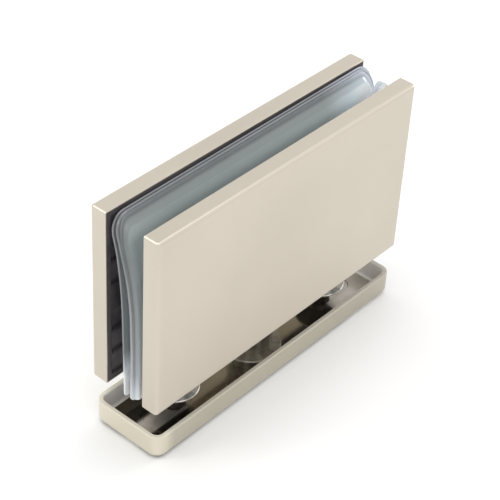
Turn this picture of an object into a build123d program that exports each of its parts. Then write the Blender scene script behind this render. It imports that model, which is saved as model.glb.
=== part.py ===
"""Floor pivot hinge for a frameless glass door.

Two flat clamp plates grip the lower corner of a glass door. A pivot block between
them turns on a post that stands in a shallow tray, and the tray is screwed to the
floor. The origin is on the pivot axis, at the underside of the tray, with X along
the plates, Y from the front plate to the rear plate, and Z up. Sizes are in
millimetres.
"""

import os

from build123d import *

os.makedirs("parts", exist_ok=True)

# ---------------------------------------------------------------- clamp plates
plate_length = 90.0
plate_height = 50.0
plate_thickness = 4.8
plate_gap = 11.4
plate_face_radius = 1.0
plate_corner_radius = 0.5
plate_edge_break = 0.15
plate_lip = 0.4
recess_depth = 1.5

# ------------------------------------------------------------------ floor tray
tray_end_inset = 0.3
tray_side_overhang = 0.1
tray_height = 7.0
tray_wall = 1.2
tray_floor = 1.2
tray_corner_radius = 3.0
tray_bottom_radius = 2.0
tray_rim_break = 0.2
leaf_clearance = 8.0

# ------------------------------------------------- floor screws and their slots
floor_screw_end_distance = 16.95
floor_screw_head_radius = 6.1
floor_screw_head_rim = 0.4
floor_screw_head_break = 0.15
floor_screw_shank_radius = 2.7
floor_screw_clearance = 0.15
floor_slot_length = 16.0
floor_slot_shift = 2.75
cross_recess_width = 1.3
cross_recess_span = 6.4
cross_recess_depth = 2.4
cross_recess_taper = 8.0

# ------------------------------------------------------------------ pivot post
collar_radius = 8.0
collar_height = 2.3
collar_break = 0.3
post_radius = 5.5
journal_radius = 3.0
journal_length = 15.5
journal_break = 0.5
tenon_radius = 4.0
tenon_head_radius = 4.8
tenon_clearance = 0.05

# ----------------------------------------------------- pivot block and bearing
block_width = 34.0
block_height = 26.0
block_corner_radius = 6.0
block_edge_break = 0.3
block_clearance = 0.4
bushing_wall = 1.0
bushing_flange = 1.0
bushing_flange_radius = 5.1
bushing_press_gap = 0.02
journal_running_gap = 0.03
journal_end_gap = 1.2
washer_thickness = 1.0
washer_gap = 0.05

# ------------------------------------------------------- clamp and block screws
screw_offset = 12.0
clamp_screw_height = 19.0
clamp_screw_radius = 2.5
clamp_screw_head_radius = 4.8
clamp_screw_socket = 3.0
block_screw_height = 7.0
block_screw_radius = 2.0
block_screw_head_radius = 3.8
block_screw_socket = 2.5
socket_depth = 1.8
screw_clearance = 0.25
head_clearance = 0.05
thread_gap = 0.03
blind_hole_skin = 1.5
screw_tip_gap = 0.3
screw_tip_break = 0.4

# ------------------------------------------------------------------- grip pads
pad_clearance = 0.1
pad_border = 1.3
pad_rib = 0.9
pad_web = 0.5
pad_rows = 7
pad_columns = 12
island_margin = 1.0

# -------------------------------------------------------------- clear gaskets
gasket_top_drop = 1.5
gasket_corner_radius = 4.5
gasket_foot_radius = 0.8
gasket_left_inset = 0.6
rear_gasket_overhang = 1.1
front_gasket_overhang = 0.4
gasket_notch_gap = 0.4
gasket_stack_gap = 0.2
gasket_seat_gap = 0.35
rear_gasket_thickness = 0.6
spacer_gasket_thickness = 1.6
front_gasket_thickness = 1.4
gasket_bend_radius = 30.0
foot_lean_share = 0.65
elbow_height_share = 0.5
elbow_lean_share = 0.57
shoulder_height_share = 0.75
shoulder_lean_share = 0.39
foot_spread_share = 0.25
shoulder_spread_share = 0.17

# --------------------------------------------------------------- derived places
tray_length = plate_length - 2 * tray_end_inset
tray_width = plate_gap + 2 * plate_thickness + 2 * tray_side_overhang
floor_screw_x = tray_length / 2 - floor_screw_end_distance
leaf_bottom = tray_height + leaf_clearance
leaf_middle = leaf_bottom + plate_height / 2
inner_face = plate_gap / 2
outer_face = inner_face + plate_thickness
block_rear_face = inner_face - block_clearance
block_thickness = inner_face + block_rear_face
collar_top = tray_floor + collar_height
bushing_radius = journal_radius + journal_running_gap + bushing_wall
block_bore_radius = bushing_radius + bushing_press_gap
post_shoulder = leaf_bottom - bushing_flange - washer_thickness - 2 * washer_gap
journal_top = leaf_bottom + journal_length
block_bore_depth = journal_length + journal_end_gap
island_width = block_width + 2 * island_margin
island_height = block_height + island_margin
recess_length = plate_length - 2 * plate_lip
recess_height = plate_height - 2 * plate_lip
pad_length = recess_length - 2 * pad_clearance
pad_height = recess_height - 2 * pad_clearance
slot_half_width = floor_screw_shank_radius + floor_screw_clearance
thread_end = outer_face - blind_hole_skin
clamp_screw_length = outer_face + thread_end - screw_tip_gap
block_screw_length = block_rear_face + thread_end - screw_tip_gap
gasket_height = plate_height - gasket_top_drop
gasket_top = leaf_bottom + gasket_height
gasket_elbow = leaf_bottom + elbow_height_share * gasket_height
gasket_shoulder = leaf_bottom + shoulder_height_share * gasket_height
gasket_stack = rear_gasket_thickness + gasket_stack_gap + spacer_gasket_thickness
gasket_play = plate_gap - 2 * gasket_seat_gap - gasket_stack - front_gasket_thickness
gasket_left = gasket_left_inset - plate_length / 2
rear_gasket_right = plate_length / 2 + rear_gasket_overhang
front_gasket_right = plate_length / 2 + front_gasket_overhang
clamp_screw_points = [(side * screw_offset, leaf_bottom + clamp_screw_height) for side in (-1, 1)]
block_screw_points = [(side * screw_offset, leaf_bottom + block_screw_height) for side in (-1, 1)]


def notched_outline(length, height, notch_width, notch_height):
    """Sketch a plate-sized face with a notch in the middle of its lower edge."""
    with BuildSketch() as outline:
        with Locations((0, leaf_middle)):
            Rectangle(length, height)
        with Locations((0, leaf_bottom)):
            Rectangle(notch_width, 2 * notch_height, mode=Mode.SUBTRACT)
    return outline.sketch


def pocket_outline():
    """Sketch the pad's pockets, left out around the pivot block's island."""
    column_pitch = (pad_length - 2 * pad_border + pad_rib) / pad_columns
    row_pitch = (pad_height - 2 * pad_border + pad_rib) / pad_rows
    rim = 2 * (pad_clearance + pad_border)
    with BuildSketch() as outline:
        with Locations((0, leaf_middle)):
            with GridLocations(column_pitch, row_pitch, pad_columns, pad_rows):
                Rectangle(column_pitch - pad_rib, row_pitch - pad_rib)
        with Locations((0, leaf_bottom)):
            Rectangle(island_width + rim, 2 * island_height + rim, mode=Mode.SUBTRACT)
    return outline.sketch


def gasket_outline(left, right):
    """Sketch a gasket's rounded outline, notched to let the pivot block through."""
    notch_width = block_width + 2 * gasket_notch_gap
    notch_height = block_height + gasket_notch_gap
    with BuildSketch() as outline:
        with Locations(((left + right) / 2, leaf_bottom + gasket_height / 2)):
            Rectangle(right - left, gasket_height)
        corners = outline.vertices().group_by(Axis.Y)
        fillet(corners[-1], gasket_corner_radius)
        fillet(corners[0], gasket_foot_radius)
        with Locations((0, leaf_bottom)):
            Rectangle(notch_width, 2 * notch_height, mode=Mode.SUBTRACT)
    return outline.sketch


def clamp_plate_blank(side):
    """Model a clamp plate and its pad recess. side is -1 for the front, 1 for the rear."""
    seat = Plane.XZ.offset(-side * inner_face)
    recess = notched_outline(recess_length, recess_height, island_width, island_height)
    with BuildPart() as plate:
        with BuildSketch(seat):
            with Locations((0, leaf_middle)):
                Rectangle(plate_length, plate_height)
        extrude(amount=-side * plate_thickness)
        fillet(plate.edges().filter_by(Axis.Y), plate_corner_radius)
        faces = plate.faces().filter_by(Axis.Y).sort_by(Axis.Y)
        outer = faces[0] if side < 0 else faces[-1]
        inner = faces[-1] if side < 0 else faces[0]
        fillet(outer.edges(), plate_face_radius)
        chamfer(inner.edges(), plate_edge_break)
        with BuildSketch(seat):
            add(recess)
        extrude(amount=-side * recess_depth, mode=Mode.SUBTRACT)
    return plate.part


def leaning_gasket(top_y, foot_spread, shoulder_spread, thickness):
    """Model a clear sheet, held at its top edge and leaning forward below it."""
    outline = gasket_outline(gasket_left, rear_gasket_right)
    shoulder_y = top_y - shoulder_lean_share * gasket_play
    with BuildPart() as gasket:
        with BuildSketch(Plane.YZ.offset(gasket_left)):
            with BuildLine():
                FilletPolyline(
                    (top_y - foot_lean_share * gasket_play - foot_spread, leaf_bottom - thickness),
                    (top_y - elbow_lean_share * gasket_play - foot_spread, gasket_elbow),
                    (shoulder_y - shoulder_spread, gasket_shoulder),
                    (top_y, gasket_top),
                    radius=gasket_bend_radius,
                )
            trace(line_width=thickness)
        extrude(amount=rear_gasket_right - gasket_left)
        with BuildSketch(Plane.XZ.offset(-outer_face)):
            add(outline)
        extrude(amount=2 * outer_face, mode=Mode.INTERSECT)
    return gasket.part


def socket_screw(plane, radius, head_radius, length, socket):
    """Model a countersunk socket screw that enters the plane along -Y, head flush."""
    with BuildPart() as screw:
        with BuildSketch(plane):
            Circle(head_radius)
        extrude(amount=-(head_radius - radius), taper=45)
        with BuildSketch(plane):
            Circle(radius)
        extrude(amount=-length)
        chamfer(screw.edges().sort_by(Axis.Y)[0], screw_tip_break)
        with BuildSketch(plane):
            RegularPolygon(socket / 2, 6, major_radius=False)
        extrude(amount=-socket_depth, mode=Mode.SUBTRACT)
    return screw.part


# ------------------------------------------------------------------ floor tray
with BuildPart() as floor_tray:
    with BuildSketch():
        RectangleRounded(tray_length, tray_width, tray_corner_radius)
    extrude(amount=tray_height)
    fillet(floor_tray.faces().sort_by(Axis.Z)[0].edges(), tray_bottom_radius)
    offset(amount=-tray_wall, openings=floor_tray.faces().sort_by(Axis.Z)[-1])
    chamfer(floor_tray.faces().sort_by(Axis.Z)[-1].edges(), tray_rim_break)
    slot_centre = floor_screw_x + floor_slot_shift
    with BuildSketch():
        with Locations((-slot_centre, 0), (slot_centre, 0)):
            SlotOverall(floor_slot_length, 2 * slot_half_width)
        Circle(tenon_radius + tenon_clearance)
    extrude(amount=tray_floor, mode=Mode.SUBTRACT)
    with BuildSketch():
        Circle(tenon_head_radius + tenon_clearance)
    extrude(amount=tenon_head_radius - tenon_radius, taper=45, mode=Mode.SUBTRACT)
floor_tray.part.label = "floor_tray"
export_step(floor_tray.part, "parts/floor_tray.step")

# ------------------------------------------------------------------ pivot post
with BuildPart() as pivot_post:
    with BuildSketch(Plane.XZ):
        with BuildLine():
            Polyline(
                (0, 0),
                (tenon_head_radius, 0),
                (tenon_radius, tenon_head_radius - tenon_radius),
                (tenon_radius, tray_floor),
                (collar_radius, tray_floor),
                (collar_radius, collar_top - collar_break),
                (collar_radius - collar_break, collar_top),
                (post_radius, collar_top),
                (post_radius, post_shoulder - collar_break),
                (post_radius - collar_break, post_shoulder),
                (journal_radius, post_shoulder),
                (journal_radius, journal_top - journal_break),
                (journal_radius - journal_break, journal_top),
                (0, journal_top),
                close=True,
            )
        make_face()
    revolve(axis=Axis.Z)
pivot_post.part.label = "pivot_post"
export_step(pivot_post.part, "parts/pivot_post.step")

# ---------------------------------------------------------------- floor screws
for side, name in ((-1, "left_floor_screw"), (1, "right_floor_screw")):
    screw_top = Plane(origin=(side * floor_screw_x, 0, tray_height))
    with BuildPart() as floor_screw:
        with BuildSketch(screw_top):
            Circle(floor_screw_head_radius)
        extrude(amount=-floor_screw_head_rim)
        chamfer(floor_screw.edges().sort_by(Axis.Z)[-1], floor_screw_head_break)
        with BuildSketch(screw_top.offset(-floor_screw_head_rim)):
            Circle(floor_screw_head_radius)
        extrude(amount=-(floor_screw_head_radius - floor_screw_shank_radius), taper=45)
        with BuildSketch(screw_top):
            Circle(floor_screw_shank_radius)
        extrude(amount=-tray_height)
        with BuildSketch(screw_top):
            Rectangle(cross_recess_span, cross_recess_width)
            Rectangle(cross_recess_width, cross_recess_span)
        extrude(amount=-cross_recess_depth, taper=cross_recess_taper, mode=Mode.SUBTRACT)
    floor_screw.part.label = name
    export_step(floor_screw.part, f"parts/{name}.step")

# ---------------------------------------------------------------- clamp plates
front_blank = clamp_plate_blank(-1)
with BuildPart() as front_plate:
    add(front_blank)
    with BuildSketch(Plane.XZ.offset(inner_face)):
        with Locations(*clamp_screw_points):
            Circle(clamp_screw_radius + thread_gap)
        with Locations(*block_screw_points):
            Circle(block_screw_radius + thread_gap)
    extrude(amount=thread_end - inner_face, mode=Mode.SUBTRACT)
front_plate.part.label = "front_plate"
export_step(front_plate.part, "parts/front_plate.step")

rear_blank = clamp_plate_blank(1)
with BuildPart() as rear_plate:
    add(rear_blank)
    with BuildSketch(Plane.XZ.offset(-outer_face)):
        with Locations(*clamp_screw_points):
            Circle(clamp_screw_radius + screw_clearance)
    extrude(amount=plate_thickness, mode=Mode.SUBTRACT)
    with BuildSketch(Plane.XZ.offset(-outer_face)):
        with Locations(*clamp_screw_points):
            Circle(clamp_screw_head_radius + head_clearance)
    extrude(
        amount=clamp_screw_head_radius - clamp_screw_radius,
        taper=45,
        mode=Mode.SUBTRACT,
    )
rear_plate.part.label = "rear_plate"
export_step(rear_plate.part, "parts/rear_plate.step")

# ------------------------------------------------------------------- grip pads
pad_rim = 2 * pad_clearance
pad_outline = notched_outline(
    pad_length, pad_height, island_width + pad_rim, island_height + pad_clearance
)
pockets = pocket_outline()
for side, name in ((-1, "front_pad"), (1, "rear_pad")):
    seat = Plane.XZ.offset(-side * inner_face)
    with BuildPart() as grip_pad:
        with BuildSketch(seat):
            add(pad_outline)
        extrude(amount=-side * recess_depth)
        with BuildSketch(seat):
            add(pockets)
        extrude(amount=-side * (recess_depth - pad_web), mode=Mode.SUBTRACT)
    grip_pad.part.label = name
    export_step(grip_pad.part, f"parts/{name}.step")

# --------------------------------------------------------------- clear gaskets
rear_sheet_y = inner_face - gasket_seat_gap - rear_gasket_thickness / 2
rear_sheet = leaning_gasket(rear_sheet_y, 0, 0, rear_gasket_thickness)
with BuildPart() as rear_gasket:
    add(rear_sheet)
rear_gasket.part.label = "rear_gasket"
export_step(rear_gasket.part, "parts/rear_gasket.step")

spacer_sheet_y = (
    rear_sheet_y
    - rear_gasket_thickness / 2
    - gasket_stack_gap
    - spacer_gasket_thickness / 2
)
spacer_sheet = leaning_gasket(
    spacer_sheet_y,
    foot_spread_share * gasket_play,
    shoulder_spread_share * gasket_play,
    spacer_gasket_thickness,
)
with BuildPart() as spacer_gasket:
    add(spacer_sheet)
spacer_gasket.part.label = "spacer_gasket"
export_step(spacer_gasket.part, "parts/spacer_gasket.step")

front_sheet = gasket_outline(gasket_left, front_gasket_right)
with BuildPart() as front_gasket:
    with BuildSketch(Plane.XZ.offset(inner_face - gasket_seat_gap)):
        add(front_sheet)
    extrude(amount=-front_gasket_thickness)
front_gasket.part.label = "front_gasket"
export_step(front_gasket.part, "parts/front_gasket.step")

# ----------------------------------------------------- pivot block and bearing
with BuildPart() as pivot_block:
    with BuildSketch(Plane.XZ.offset(inner_face)):
        with BuildLine() as block_profile:
            Polyline(
                (-block_width / 2, leaf_bottom),
                (-block_width / 2, leaf_bottom + block_height),
                (block_width / 2, leaf_bottom + block_height),
                (block_width / 2, leaf_bottom),
                close=True,
            )
        make_face()
    extrude(amount=-block_thickness)
    fillet(
        pivot_block.edges().filter_by(Axis.Y).group_by(Axis.Z)[-1],
        block_corner_radius,
    )
    chamfer(pivot_block.faces().sort_by(Axis.Y)[-1].edges(), block_edge_break)
    with BuildSketch(Plane.XY.offset(leaf_bottom)):
        Circle(block_bore_radius)
    extrude(amount=block_bore_depth, mode=Mode.SUBTRACT)
    with BuildSketch(Plane.XZ.offset(inner_face)):
        with Locations(*clamp_screw_points):
            Circle(clamp_screw_radius + screw_clearance)
        with Locations(*block_screw_points):
            Circle(block_screw_radius + screw_clearance)
    extrude(amount=-block_thickness, mode=Mode.SUBTRACT)
    with BuildSketch(Plane.XZ.offset(-block_rear_face)):
        with Locations(*block_screw_points):
            Circle(block_screw_head_radius + head_clearance)
    extrude(
        amount=block_screw_head_radius - block_screw_radius,
        taper=45,
        mode=Mode.SUBTRACT,
    )
pivot_block.part.label = "pivot_block"
export_step(pivot_block.part, "parts/pivot_block.step")

with BuildPart() as pivot_bushing:
    with BuildSketch(Plane.XY.offset(leaf_bottom - bushing_flange)):
        Circle(bushing_flange_radius)
    extrude(amount=bushing_flange)
    with BuildSketch(Plane.XY.offset(leaf_bottom)):
        Circle(bushing_radius)
    extrude(amount=journal_length)
    with BuildSketch(Plane.XY.offset(leaf_bottom - bushing_flange)):
        Circle(journal_radius + journal_running_gap)
    extrude(amount=bushing_flange + journal_length, mode=Mode.SUBTRACT)
pivot_bushing.part.label = "pivot_bushing"
export_step(pivot_bushing.part, "parts/pivot_bushing.step")

with BuildPart() as thrust_washer:
    with BuildSketch(Plane.XY.offset(post_shoulder + washer_gap)):
        Circle(post_radius)
        Circle(journal_radius + screw_clearance, mode=Mode.SUBTRACT)
    extrude(amount=washer_thickness)
thrust_washer.part.label = "thrust_washer"
export_step(thrust_washer.part, "parts/thrust_washer.step")

# ------------------------------------------------------- clamp and block screws
for side, name in ((-1, "left_clamp_screw"), (1, "right_clamp_screw")):
    clamp_entry = Plane(
        origin=(side * screw_offset, outer_face, leaf_bottom + clamp_screw_height),
        x_dir=(1, 0, 0),
        z_dir=(0, 1, 0),
    )
    clamp_blank = socket_screw(
        clamp_entry,
        clamp_screw_radius,
        clamp_screw_head_radius,
        clamp_screw_length,
        clamp_screw_socket,
    )
    with BuildPart() as clamp_screw:
        add(clamp_blank)
    clamp_screw.part.label = name
    export_step(clamp_screw.part, f"parts/{name}.step")

for side, name in ((-1, "left_block_screw"), (1, "right_block_screw")):
    block_entry = Plane(
        origin=(side * screw_offset, block_rear_face, leaf_bottom + block_screw_height),
        x_dir=(1, 0, 0),
        z_dir=(0, 1, 0),
    )
    block_blank = socket_screw(
        block_entry,
        block_screw_radius,
        block_screw_head_radius,
        block_screw_length,
        block_screw_socket,
    )
    with BuildPart() as block_screw:
        add(block_blank)
    block_screw.part.label = name
    export_step(block_screw.part, f"parts/{name}.step")
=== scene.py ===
"""Looks for a floor pivot hinge that carries a frameless glass door.

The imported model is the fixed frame. The metal parts keep their meshes and are given
their finishes. The three clear gaskets and the two grip pads are modelled again here,
because they are soft mouldings whose curves and edges carry the look of the hinge.
"""

import logging
import math
from dataclasses import dataclass
from enum import Enum
from typing import Callable

import bmesh
import bpy
from mathutils import Matrix, Vector


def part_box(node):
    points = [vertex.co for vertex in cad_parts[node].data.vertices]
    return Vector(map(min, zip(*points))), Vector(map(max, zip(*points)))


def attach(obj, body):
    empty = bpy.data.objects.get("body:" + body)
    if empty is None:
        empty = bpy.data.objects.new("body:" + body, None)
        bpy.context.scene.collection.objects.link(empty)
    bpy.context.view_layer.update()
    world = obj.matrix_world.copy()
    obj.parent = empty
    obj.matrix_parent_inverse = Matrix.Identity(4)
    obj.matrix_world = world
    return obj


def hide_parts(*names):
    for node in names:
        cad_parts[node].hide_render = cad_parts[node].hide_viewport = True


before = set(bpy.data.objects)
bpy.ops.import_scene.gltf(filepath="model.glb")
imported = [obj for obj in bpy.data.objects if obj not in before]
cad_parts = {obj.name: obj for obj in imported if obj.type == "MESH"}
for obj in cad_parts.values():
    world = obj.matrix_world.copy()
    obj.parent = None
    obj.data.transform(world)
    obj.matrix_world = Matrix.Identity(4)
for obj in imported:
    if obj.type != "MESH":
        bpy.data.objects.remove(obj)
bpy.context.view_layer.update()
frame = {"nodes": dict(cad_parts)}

MM = 0.001
MICRON = 0.000001
CUT_TOLERANCE = 0.1 * MICRON
CORNER_ANGLE = 1.0
LOG = logging.getLogger("hinge")

Colour = tuple[float, float, float]
Span = tuple[float, float]
Socket = bpy.types.NodeSocket
Profile = Callable[[float, float], float]

BLACK: Colour = (0.0, 0.0, 0.0)
WHITE: Colour = (1.0, 1.0, 1.0)


class Axis(Enum):
    """A direction of the hinge's own frame, as its place in a vector."""

    X = 0
    Y = 1
    Z = 2

    @property
    def unit(self) -> Vector:
        """The unit vector along the axis."""
        return Vector([float(place == self.value) for place in range(3)])


class Side(Enum):
    """Which clamp plate a part belongs to, as the sign of its Y side."""

    FRONT = -1
    REAR = 1

    @property
    def pocket_way(self) -> Vector:
        """The way that the pockets of the side's grip pad look: towards the glass."""
        return -self.value * Axis.Y.unit


def smooth_step(low: float, high: float, value: float) -> float:
    """Blend from 0 at the low value to 1 at the high value, with a smooth start and end."""
    share = min(1.0, max(0.0, (value - low) / (high - low)))
    return share * share * (3.0 - 2.0 * share)


def toned(colour: Colour, share: float) -> Colour:
    """Multiply every channel of a colour by the same share."""
    return tuple(share * channel for channel in colour)


# ------------------------------------------------------------------ shader helpers


class Blend(Enum):
    """What is blended: its name, and the places of its first input and of its output."""

    COLOUR = ("RGBA", 6, 2)
    VALUE = ("FLOAT", 2, 0)


class Wiring:
    """A small helper that adds nodes to one material and links them."""

    def __init__(self, name: str) -> None:
        """Make an empty node material.

        Args:
            name: Name of the material.
        """
        self.material = bpy.data.materials.new(name)
        self.material.use_nodes = True
        self.tree = self.material.node_tree
        self.tree.nodes.clear()
        self.output = self.tree.nodes.new("ShaderNodeOutputMaterial")
        self.coordinates = self.tree.nodes.new("ShaderNodeTexCoord")

    def add(self, kind: str, **settings: object) -> bpy.types.Node:
        """Add a node and set its properties.

        Args:
            kind: Node type after "ShaderNode".
            **settings: Properties of the node.

        Returns:
            The new node.
        """
        node = self.tree.nodes.new("ShaderNode" + kind)
        for key, value in settings.items():
            setattr(node, key, value)
        return node

    def link(self, source: Socket, target: Socket) -> None:
        """Link an output socket to an input socket."""
        self.tree.links.new(source, target)

    def whole(self) -> Socket:
        """Object coordinates as they are, in metres."""
        return self.coordinates.outputs["Object"]

    def along(self, axis: Axis) -> Socket:
        """One of the object coordinates.

        Args:
            axis: Which one.

        Returns:
            The coordinate in metres.
        """
        parts = self.add("SeparateXYZ")
        self.link(self.whole(), parts.inputs[0])
        return parts.outputs[axis.value]

    def placed(self, scale: tuple[float, float, float], centre: Vector = Vector((0, 0, 0))) -> Socket:
        """Object coordinates measured from a centre and stretched.

        Args:
            scale: Stretch along each axis.
            centre: Point that becomes the origin of the pattern.

        Returns:
            The vector output of the mapping.
        """
        mapping = self.add("Mapping", vector_type="POINT")
        mapping.inputs["Scale"].default_value = scale
        mapping.inputs["Location"].default_value = [-c * s for c, s in zip(centre, scale)]
        self.link(self.whole(), mapping.inputs["Vector"])
        return mapping.outputs["Vector"]

    def noise(self, vector: Socket, scale: float, detail: float) -> Socket:
        """A noise texture.

        Args:
            vector: Coordinates to read.
            scale: Scale of the noise.
            detail: Levels of detail.

        Returns:
            The grey output.
        """
        node = self.add("TexNoise")
        node.inputs["Scale"].default_value = scale
        node.inputs["Detail"].default_value = detail
        self.link(vector, node.inputs["Vector"])
        return node.outputs["Fac"]

    def ramp(self, source: Socket, stops: list[tuple[float, Colour]]) -> Socket:
        """Turn a grey value into a colour.

        Args:
            source: Grey value.
            stops: Positions and colours, from low to high.

        Returns:
            The colour output.
        """
        node = self.add("ValToRGB")
        elements = node.color_ramp.elements
        while len(elements) < len(stops):
            elements.new(0.5)
        for element, (position, colour) in zip(elements, stops):
            element.position = position
            element.color = (*colour, 1.0)
        self.link(source, node.inputs["Fac"])
        return node.outputs["Color"]

    def span(self, source: Socket, low: float, high: float) -> Socket:
        """Stretch a grey value from 0..1 to another range.

        Args:
            source: Grey value.
            low: Result at 0.
            high: Result at 1.

        Returns:
            The stretched value.
        """
        node = self.add("MapRange")
        node.inputs["To Min"].default_value = low
        node.inputs["To Max"].default_value = high
        self.link(source, node.inputs["Value"])
        return node.outputs["Result"]

    def step(self, source: Socket, start: float, end: float, smooth: bool = False) -> Socket:
        """Turn a value into a share that grows from 0 at one place to 1 at another.

        Args:
            source: The value.
            start: Value at which the share is 0.
            end: Value at which the share is 1. It may be lower than the start.
            smooth: Whether the share starts and ends softly.

        Returns:
            The share, from 0 to 1.
        """
        node = self.add("MapRange", interpolation_type="SMOOTHSTEP" if smooth else "LINEAR")
        node.inputs["From Min"].default_value = start
        node.inputs["From Max"].default_value = end
        self.link(source, node.inputs["Value"])
        return node.outputs["Result"]

    def maths(self, operation: str, *sources: Socket) -> Socket:
        """Work out one value from one or two others.

        Args:
            operation: Name of the Math node's operation.
            *sources: Its inputs.

        Returns:
            The result.
        """
        node = self.add("Math", operation=operation)
        for source, target in zip(sources, node.inputs):
            self.link(source, target)
        return node.outputs[0]

    def vector_maths(self, operation: str, source: Socket, second: Colour = BLACK) -> Socket:
        """Work out one vector or colour from another.

        Args:
            operation: Name of the Vector Math node's operation.
            source: The vector.
            second: Its fixed second input, for an operation that has one.

        Returns:
            The result.
        """
        node = self.add("VectorMath", operation=operation)
        node.inputs[1].default_value = second
        self.link(source, node.inputs[0])
        return node.outputs[0]

    def bump(self, height: Socket, depth: float, strength: float) -> Socket:
        """A bump from a grey height.

        Args:
            height: Grey height.
            depth: Height of the bump in metres.
            strength: Strength from 0 to 1.

        Returns:
            The normal output.
        """
        node = self.add("Bump")
        node.inputs["Distance"].default_value = depth
        node.inputs["Strength"].default_value = strength
        self.link(height, node.inputs["Height"])
        return node.outputs["Normal"]

    def mixed(self, share: Socket, first: Socket, second: Socket, blend: Blend) -> Socket:
        """Blend two colours or two grey values.

        Args:
            share: Share of the second one.
            first: What shows at 0.
            second: What shows at 1.
            blend: What they are.

        Returns:
            The blend.
        """
        data_type, place, result = blend.value
        node = self.add("Mix", data_type=data_type)
        self.link(share, node.inputs[0])
        self.link(first, node.inputs[place])
        self.link(second, node.inputs[place + 1])
        return node.outputs[result]

    def multiplied(self, first: Socket, second: Socket) -> Socket:
        """Multiply two colours.

        Args:
            first: One colour.
            second: The other.

        Returns:
            The product.
        """
        node = self.add("Mix", data_type="RGBA", blend_type="MULTIPLY")
        node.inputs[0].default_value = 1.0
        self.link(first, node.inputs[6])
        self.link(second, node.inputs[7])
        return node.outputs[2]

    def surface(self, **values: object) -> bpy.types.Node:
        """Add the Principled shader and join it to the output.

        Args:
            **values: Values of its sockets, with _ for a space.

        Returns:
            The shader node.
        """
        shader = self.add("BsdfPrincipled")
        for key, value in values.items():
            shader.inputs[key.replace("_", " ")].default_value = value
        self.link(shader.outputs["BSDF"], self.output.inputs["Surface"])
        return shader

    def dress(self, shader: bpy.types.Node, **sources: Socket) -> None:
        """Link each source to the shader's input of that name, with _ for a space."""
        for key, source in sources.items():
            self.link(source, shader.inputs[key.replace("_", " ")])


# ------------------------------------------------------------------ finishes


@dataclass(frozen=True)
class Finish:
    """A surface finish that can make its own material.

    The pair of numbers of a cloud, a grain or the like is its scale and its detail. That
    of a relief is its depth and its strength.
    """

    name: str

    def wire(self, wiring: Wiring) -> None:
        """Wire the finish. Each one has its own way."""
        raise NotImplementedError

    def build(self) -> bpy.types.Material:
        """Make the material.

        Returns:
            The finished material.
        """
        wiring = Wiring(self.name)
        self.wire(wiring)
        return wiring.material


@dataclass(frozen=True)
class SatinNickel(Finish):
    """Satin nickel plating on a die-cast body: a faint cloud in its tone, and a fine grain."""

    pale: Colour = (0.64, 0.584, 0.494)
    deep: Colour = (0.6, 0.547, 0.461)
    roughness: Span = (0.3, 0.4)
    metallic: float = 0.9
    cloud: Span = (28.0, 3.0)
    grain: Span = (2600.0, 2.0)
    relief: Span = (20 * MICRON, 0.35)

    def plating(self, wiring: Wiring) -> Socket:
        """The colour of the plating, with a faint cloud in it."""
        cloud = wiring.noise(wiring.whole(), *self.cloud)
        return wiring.ramp(cloud, [(0.3, self.deep), (0.7, self.pale)])

    def coat(self, wiring: Wiring, grain: Socket) -> dict[str, Socket]:
        """What the shader is given besides its bump, by the names of its inputs."""
        return {"Base_Color": self.plating(wiring), "Roughness": wiring.span(grain, *self.roughness)}

    def wire(self, wiring: Wiring) -> None:
        """Wire the finish.

        Args:
            wiring: The material's nodes.
        """
        shader = wiring.surface(Metallic=self.metallic)
        grain = wiring.noise(wiring.whole(), *self.grain)
        normal = wiring.bump(grain, *self.relief)
        wiring.dress(shader, **self.coat(wiring, grain), Normal=normal)


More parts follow.
